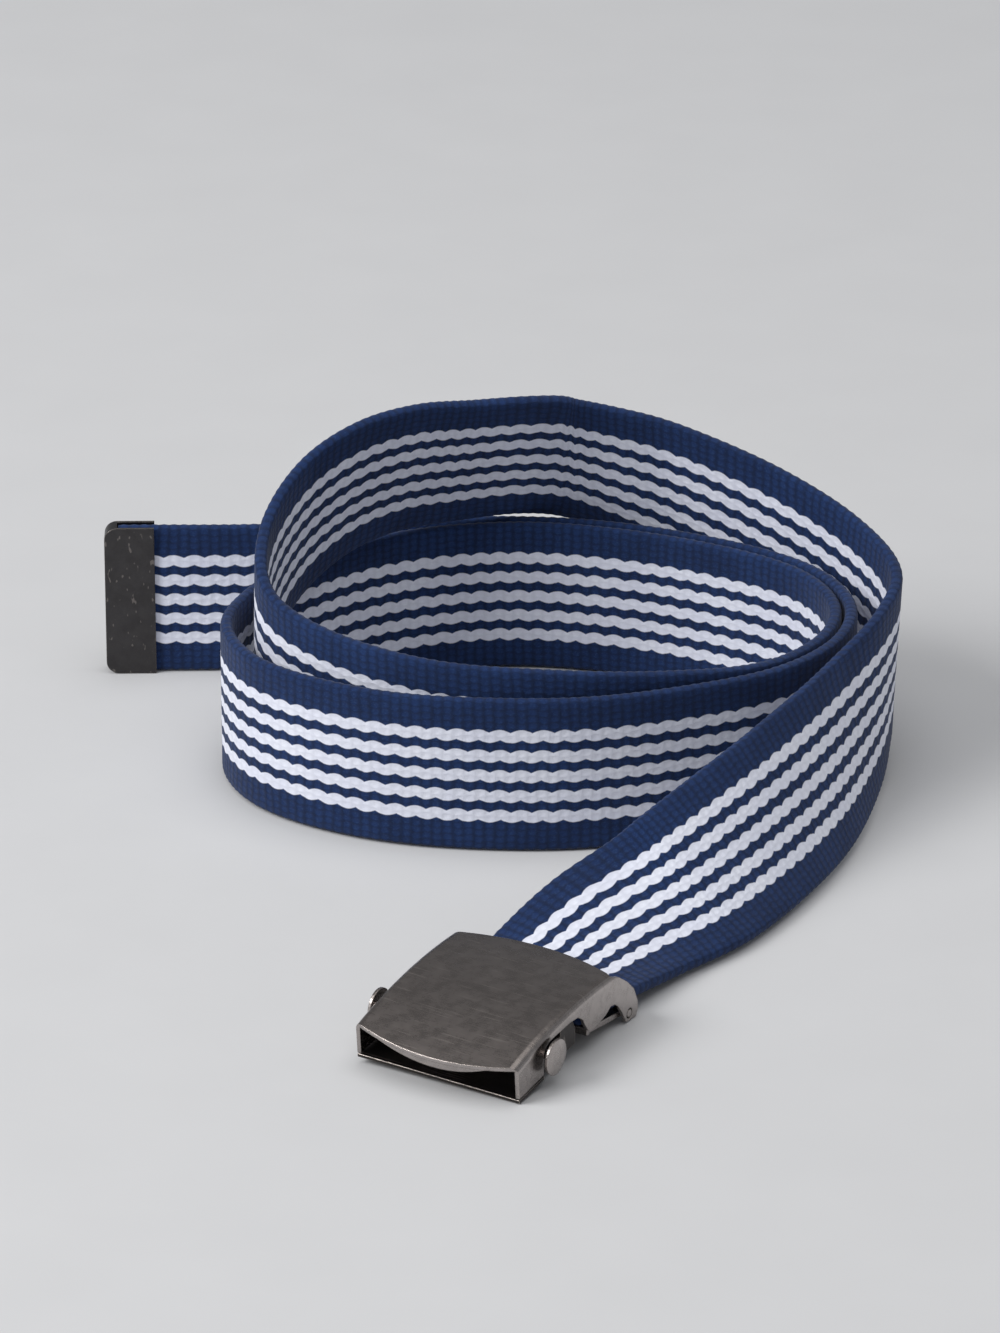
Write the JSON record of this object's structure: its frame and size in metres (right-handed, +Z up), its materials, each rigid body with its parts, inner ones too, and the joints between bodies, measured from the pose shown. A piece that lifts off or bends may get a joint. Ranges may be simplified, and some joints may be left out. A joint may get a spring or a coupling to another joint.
{
  "type": "canvas web belt",
  "caption": "Coiled canvas web belt with a plate buckle, a sliding roller, a clamp lever and a metal end tip.",
  "frame": {"origin": "on the surface that the belt lies on, under the middle of the whole belt's bounding box", "axes": "+Z up from the surface, with the webbing standing on edge; +Y from the buckle towards the coil and its free tail; +X to the right when seen from the buckle's side"},
  "size_m": [0.15, 0.1968, 0.0594],
  "materials": {
    "cotton": "thick woven cotton webbing, navy with five lengthwise white stripes",
    "gunmetal": "satin gunmetal plating, brushed, brighter at worn edges"
  },
  "bodies": {
    "root": {"webbing_strap": "cotton", "end_tip": "gunmetal", "buckle_frame": "gunmetal", "base_plate": "gunmetal"},
    "roller": {"locking_roller": "gunmetal"},
    "clamp": {"clamp_lever": "gunmetal"}
  },
  "joints": [
    {"name": "roller_slide", "type": "slide", "parent": "root", "child": "roller", "axis": [0.5027, 0.8427, 0.1925], "range_m": [0, 0.005]},
    {"name": "clamp_hinge", "type": "hinge", "parent": "root", "child": "clamp", "pos_m": [0.00892, -0.05713, 0.00217], "axis": [0.8616, -0.5065, -0.0329], "range_deg": [0, 95]}
  ]
}
